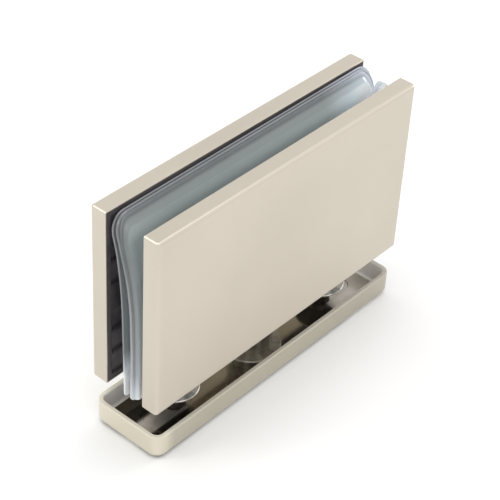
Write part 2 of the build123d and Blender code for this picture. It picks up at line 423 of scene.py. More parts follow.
@dataclass(frozen=True)
class PaintedShadeFloor(SatinNickel):
    """Polished metal of the tray's floor and of its slot slides.

    The ends are left bare. Painted shade darkens the middle and the back, runs along the front
    wall at the left, and is deepest at the left end. Where it lies, the metal is also glossier.
    """

    polished: Colour = (0.5, 0.465, 0.41)
    polished_pale: Colour = (0.63, 0.59, 0.535)
    smears: Span = (190.0, 4.0)
    scuffed: Span = (0.304, 0.456)
    # The fields below set the painted shade: its gloss, its colour, where it reaches, how soft its borders
    # are, and the deeper painted shade at the left end.
    shaded_gloss: Span = (0.054, 0.144)
    painted_shade: Colour = (0.3, 0.27, 0.215)
    painted_shade_half: float = 27.0 * MM
    painted_shade_back: float = 1.2 * MM
    painted_shade_front: float = -3.7 * MM
    soft_ends: float = 1.2 * MM
    soft_back: float = 1.0 * MM
    soft_front: float = 0.4 * MM
    painted_deep_shade: Colour = (0.115, 0.1, 0.075)
    painted_deep_shade_from: float = -27.0 * MM

    def smear(self, wiring: Wiring) -> Socket:
        """Grey smears over the surface."""
        return wiring.noise(wiring.whole(), *self.smears)

    def painted_shade_mask(self, wiring: Wiring) -> Socket:
        """Find where the painted shade lies.

        Args:
            wiring: The material's nodes.

        Returns:
            A grey value, 1 where the painted shade is.
        """
        along, across = wiring.along(Axis.X), wiring.along(Axis.Y)
        away = wiring.maths("ABSOLUTE", along)
        ends, back, front = self.painted_shade_half, self.painted_shade_back, self.painted_shade_front
        middle = wiring.step(away, ends + self.soft_ends, ends - self.soft_ends, smooth=True)
        behind = wiring.step(across, back - self.soft_back, back + self.soft_back, smooth=True)
        ahead = wiring.step(across, front + self.soft_front, front - self.soft_front, smooth=True)
        left = wiring.step(along, 1.0 * MM, -1.0 * MM)
        corner = wiring.maths("MULTIPLY", ahead, left)
        return wiring.maths("MAXIMUM", wiring.maths("MAXIMUM", middle, behind), corner)

    def coat(self, wiring: Wiring, grain: Socket) -> dict[str, Socket]:
        """The polished metal with its painted shade.

        Args:
            wiring: The material's nodes.
            grain: The fine grain. It is not used here.

        Returns:
            The shader's colour and roughness.
        """
        smear = self.smear(wiring)
        # Painted shade: a darker colour where the mask is 1, deepest at the left end.
        painted_shade_mask = self.painted_shade_mask(wiring)
        unshaded_polish = wiring.ramp(smear, [(0.38, self.polished), (0.62, self.polished_pale)])
        soft_shade, deep_shade = (
            wiring.ramp(smear, [(0.3, toned(shade_colour, 0.8)), (0.75, shade_colour)]) for shade_colour in (self.painted_shade, self.painted_deep_shade)
        )
        deep_shade_share = wiring.step(wiring.along(Axis.X), self.painted_deep_shade_from, self.painted_deep_shade_from - 2.0 * MM)
        painted_shade_colour = wiring.mixed(deep_shade_share, soft_shade, deep_shade, Blend.COLOUR)
        worn = wiring.span(smear, *self.scuffed)
        shiny = wiring.span(smear, *self.shaded_gloss)
        return {
            "Base_Color": wiring.mixed(painted_shade_mask, unshaded_polish, painted_shade_colour, Blend.COLOUR),
            "Roughness": wiring.mixed(painted_shade_mask, worn, shiny, Blend.VALUE),
        }


@dataclass(frozen=True, kw_only=True)
class TrayNickel(PaintedShadeFloor):
    """The tray's plating: satin outside, blasted on the inner wall, polished on the floor.

    Painted light brightens the plating at the left end and darkens it towards the right end;
    the floor carries painted shade.
    """

    inner_half: Span
    pale: Colour = (0.76, 0.71, 0.592)
    deep: Colour = (0.72, 0.672, 0.558)
    inner_corner: float = 2.4 * MM
    floor_top: float = 1.2 * MM
    wall_top: float = 6.9 * MM
    rim_from: float = 6.62 * MM
    rim_roughness: Span = (0.6, 0.75)
    blasted: Colour = (0.93, 0.91, 0.88)
    blasted_deep: Colour = (0.88, 0.86, 0.82)
    blasted_roughness: Span = (0.5, 0.65)
    blasted_metallic: float = 0.2
    # Painted light along the tray: places from its left end to its right end, and the levels that scale the
    # plating, brightest at the left end and darkest at the right.
    painted_light_tones: tuple[Span, ...] = ((0.03, 1.0), (0.06, 0.775), (1.0, 0.68))

    def inside(self, wiring: Wiring, top: float) -> Socket:
        """Find the inside of the tray up to a height, within a rounded rectangle seen from above.

        Args:
            wiring: The material's nodes.
            top: Height up to which the inside counts.

        Returns:
            A grey value, 1 inside and 0 outside.
        """
        straight = (*(half - self.inner_corner for half in self.inner_half), 0.0)
        mirrored = wiring.vector_maths("ABSOLUTE", wiring.placed((1, 1, 0)))
        outer = wiring.vector_maths("MAXIMUM", wiring.vector_maths("SUBTRACT", mirrored, straight))
        length = wiring.add("VectorMath", operation="LENGTH")
        wiring.link(outer, length.inputs[0])
        edge, soft = self.inner_corner, 0.05 * MM
        within = wiring.step(length.outputs["Value"], edge + soft, edge - soft, smooth=True)
        below = wiring.step(wiring.along(Axis.Z), top + 0.06 * MM, top + 0.02 * MM, smooth=True)
        return wiring.maths("MULTIPLY", within, below)

    def coat(self, wiring: Wiring, grain: Socket) -> dict[str, Socket]:
        """The plating outside with its painted light, the blasted walls inside and the polished floor with
        its painted shade.

        Args:
            wiring: The material's nodes.
            grain: The fine grain.

        Returns:
            The shader's colour, roughness and metal.
        """
        polish = super().coat(wiring, grain)
        walls = self.inside(wiring, self.wall_top)
        floor = self.inside(wiring, self.floor_top)
        rim = wiring.step(wiring.along(Axis.Z), self.rim_from, self.rim_from + 0.1 * MM)
        # Painted light: the plating's colour is scaled along the tray.
        ends = wiring.step(wiring.along(Axis.X), -self.inner_half[0], self.inner_half[0])
        tone = wiring.ramp(ends, [(place, toned(WHITE, level)) for place, level in self.painted_light_tones])
        colour = wiring.multiplied(self.plating(wiring), tone)
        blast = wiring.ramp(self.smear(wiring), [(0.3, self.blasted_deep), (0.7, self.blasted)])
        colour = wiring.mixed(walls, colour, blast, Blend.COLOUR)
        satin, worn, matt = (
            wiring.span(grain, *reach)
            for reach in (self.roughness, self.rim_roughness, self.blasted_roughness)
        )
        rough = wiring.mixed(rim, satin, worn, Blend.VALUE)
        rough = wiring.mixed(walls, rough, matt, Blend.VALUE)
        dull = wiring.maths("MAXIMUM", wiring.maths("SUBTRACT", walls, floor), rim)
        return {
            "Base_Color": wiring.mixed(floor, colour, polish["Base_Color"], Blend.COLOUR),
            "Roughness": wiring.mixed(floor, rough, polish["Roughness"], Blend.VALUE),
            "Metallic": wiring.span(dull, self.metallic, self.blasted_metallic),
        }


@dataclass(frozen=True)
class TurnedSteel(Finish):
    """Polished steel with the fine rings that a lathe leaves, and painted sheen: light and dark
    streaks round its axis. Painted shade darkens a countersunk head below its rim.
    """

    centre: Vector
    colour: Colour
    # Height below which a countersunk head is darkened with painted shade; None for no painted shade.
    painted_shade_below: float | None = None
    roughness: Span = (0.252, 0.54)
    metallic: float = 0.75
    anisotropy: float = 0.65
    cloud: Span = (300.0, 4.0)
    rings: float = 1500.0
    wobble: float = 0.6
    relief: Span = (10 * MICRON, 0.25)
    # Painted sheen: scale and detail of the streaks round the axis, and the share of the colour in their
    # dark parts.
    painted_sheen_streaks: Span = (2.6, 2.0)
    painted_sheen_dark_share: float = 0.35
    unlit_deep: Colour = (0.03, 0.026, 0.02)
    unlit: Colour = (0.07, 0.06, 0.05)

    def wire(self, wiring: Wiring) -> None:
        """Wire the finish.

        Args:
            wiring: The material's nodes.
        """
        shader = wiring.surface(Metallic=self.metallic, Anisotropic=self.anisotropy)
        local = wiring.placed((1, 1, 1), self.centre)
        rings = wiring.add("TexWave", wave_type="RINGS", rings_direction="Z")
        rings.inputs["Scale"].default_value = self.rings
        rings.inputs["Distortion"].default_value = self.wobble
        wiring.link(local, rings.inputs["Vector"])
        cloud = wiring.noise(local, *self.cloud)
        dull = toned(self.colour, 0.8)
        dark = toned(self.colour, self.painted_sheen_dark_share)
        # Painted sheen: light and dark streaks that change with the angle round the axis.
        around = wiring.vector_maths("NORMALIZE", wiring.placed((1, 1, 0), self.centre))
        painted_sheen = wiring.noise(around, *self.painted_sheen_streaks)
        colour = wiring.mixed(
            wiring.ramp(painted_sheen, [(0.42, BLACK), (0.56, WHITE)]),
            wiring.ramp(cloud, [(0.3, dark), (0.65, dull)]),
            wiring.ramp(cloud, [(0.3, dull), (0.65, self.colour)]),
            Blend.COLOUR,
        )
        # Painted shade below the countersunk head's rim.
        if self.painted_shade_below is not None:
            low = wiring.step(wiring.along(Axis.Z), self.painted_shade_below + 0.1 * MM, self.painted_shade_below - 0.1 * MM)
            unlit = wiring.ramp(cloud, [(0.3, self.unlit_deep), (0.7, self.unlit)])
            colour = wiring.mixed(low, colour, unlit, Blend.COLOUR)
        rough = wiring.span(cloud, *self.roughness)
        normal = wiring.bump(rings.outputs["Fac"], *self.relief)
        tangent = wiring.add("Tangent", direction_type="RADIAL", axis="Z").outputs[0]
        wiring.dress(shader, Base_Color=colour, Roughness=rough, Normal=normal, Tangent=tangent)


@dataclass(frozen=True)
class MouldedRubber(Finish):
    """Black moulded rubber with a faint bloom; its pocket floors are painted paler, painted light that lifts
    the shade in the pockets.
    """

    deep: Colour = (0.055, 0.05, 0.056)
    bloom: Colour = (0.1, 0.088, 0.09)
    pocket_from: float = 6.2 * MM
    # Painted light: how many times paler the pocket floors are painted.
    pocket_painted_light: float = 2.0
    roughness: Span = (0.5, 0.72)
    shine: float = 0.35
    cloud: Span = (160.0, 5.0)
    grain: Span = (3200.0, 2.0)
    relief: Span = (30 * MICRON, 0.5)

    def wire(self, wiring: Wiring) -> None:
        """Wire the finish.

        Args:
            wiring: The material's nodes.
        """
        shader = wiring.surface(Specular_IOR_Level=self.shine)
        cloud = wiring.noise(wiring.whole(), *self.cloud)
        grain = wiring.noise(wiring.whole(), *self.grain)
        away = wiring.maths("ABSOLUTE", wiring.along(Axis.Y))
        pocket = wiring.step(away, self.pocket_from, self.pocket_from + 0.2 * MM)
        # Painted light: the pocket floors are painted a paler copy of the colour.
        face_colour, pocket_lightened = (
            wiring.ramp(cloud, [(0.35, toned(self.deep, level)), (0.75, toned(self.bloom, level))])
            for level in (1.0, self.pocket_painted_light)
        )
        colour = wiring.mixed(pocket, face_colour, pocket_lightened, Blend.COLOUR)
        rough = wiring.span(grain, *self.roughness)
        normal = wiring.bump(grain, *self.relief)
        wiring.dress(shader, Base_Color=colour, Roughness=rough, Normal=normal)


@dataclass(frozen=True)
class ClearVinyl(Finish):
    """Clear vinyl sheet, slightly milky and slightly green, with painted light and shade on it.

    Across its moulded rim, read from its depth, lie a painted glint on the edge and painted
    light and shade further in. Painted light also brightens its open right end, its foot and
    its lower part. These tones multiply the colour. A colour ramp holds no more than 1, so they
    pass it at half their value and are doubled after it.
    """

    tint: Colour = (0.66, 0.738, 0.735)
    haze: Colour = (0.74, 0.808, 0.81)
    # Painted light and shade across the moulded rim: depth inside the rim in millimetres, and level.
    rim: tuple[Span, ...] = ((0.0, 0.6), (0.3, 0.6), (0.6, 0.8), (1.5, 0.9))
    # Tint of the painted glint on the edge, and the width in millimetres that it covers.
    edge_painted_glint: Colour = (1.0, 0.95, 1.0)
    edge_width: float = 0.7
    rim_reach: float = 8.0
    transmission: float = 0.45
    roughness: Span = (0.112, 0.224)
    cloud: Span = (45.0, 3.0)
    ripple: Span = (60.0, 2.0)
    stretch: float = 2.2
    relief: Span = (300 * MICRON, 0.12)
    # Painted light that brightens the sheet towards its open right end.
    open_end: Span = (26.0 * MM, 46.5 * MM)
    end_painted_light: Colour = (2.35, 2.4, 2.6)
    # Painted light that brightens the sheet towards its foot.
    foot: Span = (27.0 * MM, 15.0 * MM)
    foot_painted_light: Colour = (2.0, 1.95, 2.0)
    # More painted light, over the lower part of the sheet.
    hem: Span = (22.0 * MM, 17.5 * MM)
    hem_painted_light: Colour = (1.4, 1.4, 1.42)
    half: float = 0.5
    palest: Colour = (0.95, 0.97, 0.98)

    def with_painted_light(self, wiring: Wiring, base: Socket, tone: Socket) -> Socket:
        """Multiply a colour by a tone of painted light and shade, given at half its value."""
        return wiring.vector_maths("MULTIPLY", wiring.multiplied(base, tone), toned(WHITE, 1.0 / self.half))

    def painted_fade(self, wiring: Wiring, axis: Axis, reach: Span, tone: Colour) -> Socket:
        """A tone of painted light, at half its value, that grows along an axis from one place to another."""
        share = wiring.step(wiring.along(axis), *reach)
        return wiring.ramp(share, [(0.0, toned(WHITE, self.half)), (1.0, toned(tone, self.half))])

    def rim_painted_light(self, wiring: Wiring) -> Socket:
        """The painted light and shade across the moulded rim, read from the sheet's own depth attribute.

        Args:
            wiring: The material's nodes.

        Returns:
            The painted light and shade at half their value.
        """
        depth = wiring.add("Attribute", attribute_name="rim_depth")
        share = wiring.step(depth.outputs["Fac"], 0.0, self.rim_reach)
        stops = []
        for place, level in self.rim:
            tone = self.edge_painted_glint if place < self.edge_width else WHITE
            stops.append((place / self.rim_reach, toned(tone, self.half * level)))
        return wiring.ramp(share, stops)

    def wire(self, wiring: Wiring) -> None:
        """Wire the finish.

        Args:
            wiring: The material's nodes.
        """
        shader = wiring.surface(Transmission_Weight=self.transmission, IOR=1.5)
        cloud = wiring.noise(wiring.whole(), *self.cloud)
        ripple = wiring.noise(wiring.placed((1, 1, self.stretch)), *self.ripple)
        colour = wiring.ramp(cloud, [(0.3, self.tint), (0.72, self.haze)])
        # Each tone of painted light and shade multiplies the colour in turn.
        for tone in (
            self.rim_painted_light(wiring),
            self.painted_fade(wiring, Axis.X, self.open_end, self.end_painted_light),
            self.painted_fade(wiring, Axis.Z, self.foot, self.foot_painted_light),
            self.painted_fade(wiring, Axis.Z, self.hem, self.hem_painted_light),
        ):
            colour = self.with_painted_light(wiring, colour, tone)
        colour = wiring.vector_maths("MINIMUM", colour, self.palest)
        rough = wiring.span(cloud, *self.roughness)
        normal = wiring.bump(ripple, *self.relief)
        wiring.dress(shader, Base_Color=colour, Roughness=rough, Normal=normal)


@dataclass(frozen=True)
class MachinedBrass(Finish):
    """Machined brass of the pivot block, dulled by handling, with upright cutter strokes."""

    bright: Colour = (0.5, 0.41, 0.26)
    dull: Colour = (0.34, 0.27, 0.17)
    roughness: Span = (0.22, 0.42)
    cloud: Span = (90.0, 4.0)
    strokes: Span = (130.0, 3.0)
    stretch: float = 22.0
    relief: Span = (30 * MICRON, 0.3)

    def wire(self, wiring: Wiring) -> None:
        """Wire the finish.

        Args:
            wiring: The material's nodes.
        """
        shader = wiring.surface(Metallic=1.0)
        cloud = wiring.noise(wiring.whole(), *self.cloud)
        strokes = wiring.noise(wiring.placed((1, 1, self.stretch)), *self.strokes)
        colour = wiring.ramp(cloud, [(0.3, self.dull), (0.7, self.bright)])
        rough = wiring.span(strokes, *self.roughness)
        normal = wiring.bump(strokes, *self.relief)
        wiring.dress(shader, Base_Color=colour, Roughness=rough, Normal=normal)


@dataclass(frozen=True)
class NaturalAcetal(Finish):
    """Off-white acetal of the bushing and the washer."""

    colour: Colour = (0.78, 0.77, 0.72)
    shade: Colour = (0.7, 0.68, 0.62)
    roughness: Span = (0.34, 0.48)
    cloud: Span = (220.0, 3.0)
    grain: Span = (1800.0, 2.0)
    relief: Span = (10 * MICRON, 0.4)

    def wire(self, wiring: Wiring) -> None:
        """Wire the finish.

        Args:
            wiring: The material's nodes.
        """
        shader = wiring.surface(Subsurface_Weight=0.15, Subsurface_Scale=1.0 * MM)
        cloud = wiring.noise(wiring.whole(), *self.cloud)
        grain = wiring.noise(wiring.whole(), *self.grain)
        colour = wiring.ramp(cloud, [(0.3, self.shade), (0.7, self.colour)])
        rough = wiring.span(cloud, *self.roughness)
        normal = wiring.bump(grain, *self.relief)
        wiring.dress(shader, Base_Color=colour, Roughness=rough, Normal=normal)


@dataclass(frozen=True)
class StudioPaint(Finish):
    """Matt paint of the floor, and of the dark card that the tray's polished floor mirrors."""

    colour: Colour = (0.87, 0.87, 0.87)
    cloud: Span = (6.0, 2.0)

    def wire(self, wiring: Wiring) -> None:
        """Wire the finish.

        Args:
            wiring: The material's nodes.
        """
        shader = wiring.surface(Roughness=0.9, Specular_IOR_Level=0.0)
        cloud = wiring.noise(wiring.whole(), *self.cloud)
        colour = wiring.ramp(cloud, [(0.3, self.colour), (0.7, toned(self.colour, 1.01))])
        wiring.dress(shader, Base_Color=colour)


# ------------------------------------------------------------------ mesh helpers


def make_piece(name: str, shape: bmesh.types.BMesh, sharp_angle: float) -> bpy.types.Object:
    """Turn a bmesh into a piece at the origin, smooth but for its sharp edges.

    Args:
        name: Name of the piece.
        shape: The bmesh, in metres. It is freed.
        sharp_angle: Angle in degrees above which an edge stays sharp.

    Returns:
        The new object.
    """
    limit = math.radians(sharp_angle)
    for edge in shape.edges:
        edge.smooth = len(edge.link_faces) == 2 and edge.calc_face_angle(0.0) < limit
    for face in shape.faces:
        face.smooth = True
    mesh = bpy.data.meshes.new(name)
    shape.to_mesh(mesh)
    shape.free()
    piece = bpy.data.objects.new(name, mesh)
    bpy.context.scene.collection.objects.link(piece)
    return piece


def cut(shape: bmesh.types.BMesh, axis: Axis, place: float) -> None:
    """Cut every face that a plane crosses, and keep both sides.

    Args:
        shape: The bmesh to cut.
        axis: Axis that the plane is square to.
        place: Where the plane lies along the axis.
    """
    geometry = shape.verts[:] + shape.edges[:] + shape.faces[:]
    point, normal = axis.unit * place, axis.unit
    bmesh.ops.bisect_plane(shape, geom=geometry, plane_co=point, plane_no=normal, dist=CUT_TOLERANCE)


def cut_rows(shape: bmesh.types.BMesh, axis: Axis, low: float, high: float, step: float) -> None:
    """Cut a flat sheet into even rows so that it can bend.

    Args:
        shape: The bmesh to cut.
        axis: Direction in which the rows follow each other.
        low: Place of the first row.
        high: Place of the last row.
        step: Largest row height.
    """
    count = max(1, math.ceil((high - low) / step))
    for row in range(count + 1):
        cut(shape, axis, low + (high - low) * row / count)


def cut_notch(shape: bmesh.types.BMesh, half_width: float, top: float) -> None:
    """Cut the pivot block's notch out of the lower edge of a flat sheet.

    Args:
        shape: The bmesh to cut.
        half_width: Half of the notch's width.
        top: Height of the notch's top edge.
    """
    cut(shape, Axis.X, -half_width)
    cut(shape, Axis.X, half_width)
    cut(shape, Axis.Z, top)
    middles = [(face, face.calc_center_median()) for face in shape.faces]
    inside = [face for face, middle in middles if abs(middle.x) < half_width and middle.z < top]
    bmesh.ops.delete(shape, geom=inside, context="FACES")


def turn_faces(shape: bmesh.types.BMesh, direction: Vector) -> None:
    """Make all faces of a flat sheet look the same way.

    Args:
        shape: The sheet.
        direction: The way that they are to look.
    """
    bmesh.ops.recalc_face_normals(shape, faces=shape.faces)
    if sum(face.normal.dot(direction) for face in shape.faces) < 0:
        bmesh.ops.reverse_faces(shape, faces=shape.faces)


def corner_edges(shape: bmesh.types.BMesh) -> list[bmesh.types.BMEdge]:
    """The edges at which two faces meet at a sharp corner."""
    return [e for e in shape.edges if len(e.link_faces) == 2 and e.calc_face_angle(0.0) > CORNER_ANGLE]


def open_edges(shape: bmesh.types.BMesh) -> list[bmesh.types.BMEdge]:
    """The edges that have a face on one side only."""
    return [edge for edge in shape.edges if len(edge.link_faces) == 1]


def new_verts(result: dict[str, list]) -> list[bmesh.types.BMVert]:
    """The vertices that an extrusion has made."""
    return [item for item in result["geom"] if isinstance(item, bmesh.types.BMVert)]


def round_edges(shape: bmesh.types.BMesh, edges: list[bmesh.types.BMEdge], width: float) -> None:
    """Break edges with a small round of the given width."""
    bmesh.ops.bevel(
        shape, geom=edges, offset=width, offset_type="OFFSET", segments=2,
        profile=0.5, affect="EDGES", material=-1,
    )


def flat_outline(low: Span, high: Span, corner: float = 0.0, foot: float = 0.0) -> bmesh.types.BMesh:
    """Make a flat face in the XZ plane with rounded corners.

    Args:
        low: Left end and lower edge.
        high: Right end and upper edge.
        corner: Radius of the two upper corners, 0 for none.
        foot: Radius of the two lower corners, 0 for none.

    Returns:
        A bmesh with one face.
    """
    (left, bottom), (right, top) = low, high
    half = (bottom + top) / 2
    shape = bmesh.new()
    bmesh.ops.create_grid(shape, x_segments=1, y_segments=1, size=0.5)
    middle = Vector(((left + right) / 2, 0, half))
    turn = Matrix.Rotation(math.radians(90), 4, "X")
    stretch = Matrix.Diagonal((right - left, 1, top - bottom, 1))
    bmesh.ops.transform(shape, matrix=Matrix.Translation(middle) @ stretch @ turn, verts=shape.verts)
    upper = [vert for vert in shape.verts if vert.co.z > half]
    lower = [vert for vert in shape.verts if vert.co.z < half]
    for radius, segments, chosen in ((corner, 12, upper), (foot, 4, lower)):
        if radius > 0:
            bmesh.ops.bevel(
                shape, geom=chosen, offset=radius, offset_type="OFFSET", segments=segments,
                profile=0.5, affect="VERTICES", material=-1,
            )
    return shape


# ------------------------------------------------------------------ clear gaskets


@dataclass
class ClearGasket:
    """One clear vinyl gasket: a rounded sheet, notched for the pivot block, that bends."""

    name: str
    node: str
    finish: ClearVinyl
    left: float
    right: float
    bottom: float
    top: float
    back: Profile
    thickness: float
    right_sag: float
    panel: tuple[Span, ...] = ((0.0, 0.0),)
    corner: float = 4.5 * MM
    foot: float = 0.8 * MM
    notch_half: float = 17.6 * MM
    notch_top: float = 41.6 * MM
    edge_break: float = 0.16 * MM
    rim_corner: float = 0.9
    top_stretch: float = 0.55
    fine_top: float = 8.0 * MM
    fine_end: float = 4.5 * MM
    fine_step: float = 0.3 * MM
    row_step: float = 0.8 * MM
    column_step: float = 2.5 * MM
    sharp_angle: float = 35.0

    def rim_depth(self, x: float, z: float) -> float:
        """How far inside the moulded rim a place is. The rim is broader along the top.

        Args:
            x: Place along the sheet.
            z: Height.

        Returns:
            Distance in millimetres, 0 at the edge.
        """
        across = min(x - self.left, self.right - x) / MM
        up = self.top_stretch * (self.top - z) / MM
        reach = self.corner / MM * self.rim_corner
        if across < reach and up < reach:
            return max(0.0, reach - math.hypot(reach - across, reach - up))
        return max(0.0, min(across, up))

    def panel_rise(self, depth: float) -> float:
        """Height of the moulded front face at a depth inside the rim.

        Args:
            depth: Distance inside the rim in millimetres.

        Returns:
            Distance in metres, positive towards the front.
        """
        for (start, low), (end, high) in zip(self.panel, self.panel[1:]):
            if depth <= end:
                return (low + (high - low) * smooth_step(start, end, depth)) * MM
        return self.panel[-1][1] * MM

    def flat_sheet(self) -> bmesh.types.BMesh:
        """Cut the flat sheet, in fine rows where it bends and where its rim is moulded.

        Returns:
            The sheet, without thickness, which looks to the front.
        """
        low, high = (self.left, self.bottom), (self.right, self.top)
        shape = flat_outline(low, high, self.corner, self.foot)
        cut_notch(shape, self.notch_half, self.notch_top)
        cut_rows(shape, Axis.Z, self.bottom, self.top - self.fine_top, self.row_step)
        cut_rows(shape, Axis.Z, self.top - self.fine_top, self.top, self.fine_step)
        cut_rows(shape, Axis.X, self.left, self.left + self.fine_end, self.fine_step)
        cut_rows(shape, Axis.X, self.left + self.fine_end, self.right - self.fine_end, self.column_step)
        cut_rows(shape, Axis.X, self.right - self.fine_end, self.right, self.fine_step)
        bmesh.ops.triangulate(shape, faces=[face for face in shape.faces if len(face.verts) > 4])
        turn_faces(shape, -Axis.Y.unit)
        return shape

    def bend(self, shape: bmesh.types.BMesh) -> None:
        """Mould the front, bend the sheet to its line and let its right end sag.

        Args:
            shape: The sheet with its thickness, whose back lies at Y 0.
        """
        rim_layer = shape.verts.layers.float.new("rim_depth")
        length = self.right - self.left
        for vert in shape.verts:
            x, depth, z = vert.co
            inside = self.rim_depth(x, z)
            vert[rim_layer] = inside
            if depth < -0.5 * self.thickness:
                depth -= self.panel_rise(inside)
            sag = self.right_sag * (x - self.left) / length * (z - self.bottom) / (self.top - self.bottom)
            vert.co = Vector((x, self.back(x, z) + depth, z - sag))

    def build(self) -> bpy.types.Object:
        """Model the gasket and dress it.

        Returns:
            The piece.
        """
        shape = self.flat_sheet()
        bmesh.ops.solidify(shape, geom=shape.faces[:], thickness=self.thickness)
        low = min(vert.co.y for vert in shape.verts)
        bmesh.ops.translate(shape, vec=Vector((0, -low - self.thickness, 0)), verts=shape.verts)
        round_edges(shape, corner_edges(shape), self.edge_break)
        self.bend(shape)
        piece = make_piece(self.name, shape, self.sharp_angle)
        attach(piece, "leaf")
        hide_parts(self.node)
        piece.data.materials.append(self.finish.build())
        return piece


@dataclass
class GasketSet:
    """The loose stack of clear gaskets that lies between the clamp plates.

    The lines give the Y of a sheet's back face at a few heights above the plates' lower
    edge. They, the panel and the curl of the front sheet are in millimetres.
    """

    leaf_bottom: float = 15.0 * MM
    height: float = 48.9 * MM
    left: float = -44.4 * MM
    right: float = 46.1 * MM
    hang: float = 1.0 * MM
    rear_line: tuple[Span, ...] = (
        (0, 0.75), (9, 1.0), (18, 1.28), (25, 1.5), (31.7, 2.02),
        (36, 2.55), (40, 3.2), (44, 4.2), (48.5, 5.3),
    )
    spacer_line: tuple[Span, ...] = (
        (0, -1.3), (12, -1.4), (20, -1.22), (25, -1.02), (29, -0.6),
        (33, -0.02), (36.7, 0.84), (40.1, 1.75), (44, 2.8), (48.5, 4.5),
    )
    spacer_panel: tuple[Span, ...] = (
        (0.0, 0.0), (0.15, -0.12), (0.7, -0.12), (1.5, 0.72), (2.6, 0.75), (5.0, 0.5),
    )
    front_back: float = -3.95
    curl: float = 3.0
    curl_along: Span = (33.0, 43.5)
    curl_up: Span = (28.0, 47.0)

    def lean(self, points: tuple[Span, ...]) -> Profile:
        """Make a smooth profile through a few heights.

        Args:
            points: Heights above the plates' lower edge and Y places, in millimetres.

        Returns:
            A function from x and z to the Y of the sheet's back face.
        """

        def profile(x: float, z: float) -> float:
            """Y of the back face at one place of the sheet.

            Args:
                x: Place along the sheet.
                z: Height.

            Returns:
                The Y in metres.
            """
            height = (z - self.leaf_bottom) / MM
            if height <= points[0][0]:
                return points[0][1] * MM
            for index in range(len(points) - 1):
                (low, start), (high, end) = points[index], points[index + 1]
                if height <= high:
                    before = points[max(0, index - 1)]
                    after = points[min(len(points) - 1, index + 2)]
                    slope_in = (end - before[1]) / (high - before[0])
                    slope_out = (after[1] - start) / (after[0] - low)
                    t = (height - low) / (high - low)
                    span = high - low
                    value = (
                        (2 * t**3 - 3 * t**2 + 1) * start
                        + (t**3 - 2 * t**2 + t) * span * slope_in
                        + (-2 * t**3 + 3 * t**2) * end
                        + (t**3 - t**2) * span * slope_out
                    )
                    return value * MM
            return points[-1][1] * MM

        return profile

    def curled(self, x: float, z: float) -> float:
        """Y of the front gasket's back face, curled at its upper right corner.

        Args:
            x: Place along the sheet.
            z: Height.

        Returns:
            The Y in metres.
        """
        height = (z - self.leaf_bottom) / MM
        share = smooth_step(*self.curl_along, x / MM) * smooth_step(*self.curl_up, height)
        return (self.front_back + self.curl * share) * MM

    def gaskets(self) -> tuple[ClearGasket, ...]:
        """Describe the three gaskets and their vinyl.

        Returns:
            The gaskets, from the rear to the front.
        """
        bottom, top = self.leaf_bottom - self.hang, self.leaf_bottom + self.height
        # Each vinyl's rim levels and foot tone are painted light and shade, set for that sheet.
        rear_vinyl = ClearVinyl(
            "rear_clear_vinyl",
            transmission=0.27,
            rim=((0.0, 0.4), (0.3, 0.4), (0.6, 0.5), (1.5, 0.56)),
            foot=(27.5 * MM, 18.5 * MM),
            foot_painted_light=(3.6, 3.45, 3.6),
        )
        spacer_vinyl = ClearVinyl(
            "spacer_clear_vinyl",
            transmission=0.15,
            rim=(
                (0.0, 0.28), (0.08, 0.28), (0.18, 0.54), (0.4, 0.46), (0.7, 0.31), (0.85, 0.32),
                (1.0, 0.38), (1.2, 0.38), (1.35, 0.43), (1.5, 0.58), (1.7, 0.72), (6.0, 0.72),
            ),
            foot=(54.0 * MM, 15.0 * MM),
            foot_painted_light=(2.4, 2.35, 2.4),
        )
        front_vinyl = ClearVinyl("front_clear_vinyl", transmission=0.6)
        rear = ClearGasket(
            "rear_clear_gasket", "rear_gasket", rear_vinyl, self.left, self.right, bottom, top,
            back=self.lean(self.rear_line), thickness=0.55 * MM, right_sag=-0.35 * MM,
        )
        spacer = ClearGasket(
            "spacer_clear_gasket", "spacer_gasket", spacer_vinyl,
            self.left, self.right - 1.2 * MM, bottom, top,
            back=self.lean(self.spacer_line), thickness=0.85 * MM, right_sag=-0.35 * MM,
            panel=self.spacer_panel,
        )
        front = ClearGasket(
            "front_clear_gasket", "front_gasket", front_vinyl, -42.6 * MM, 45.4 * MM, bottom, top - 1.1 * MM,
            back=self.curled, thickness=1.4 * MM, right_sag=-0.4 * MM,
        )
        return rear, spacer, front

    def build(self) -> list[bpy.types.Object]:
        """Model the gaskets and dress them."""
        return [gasket.build() for gasket in self.gaskets()]


# ------------------------------------------------------------------ grip pads


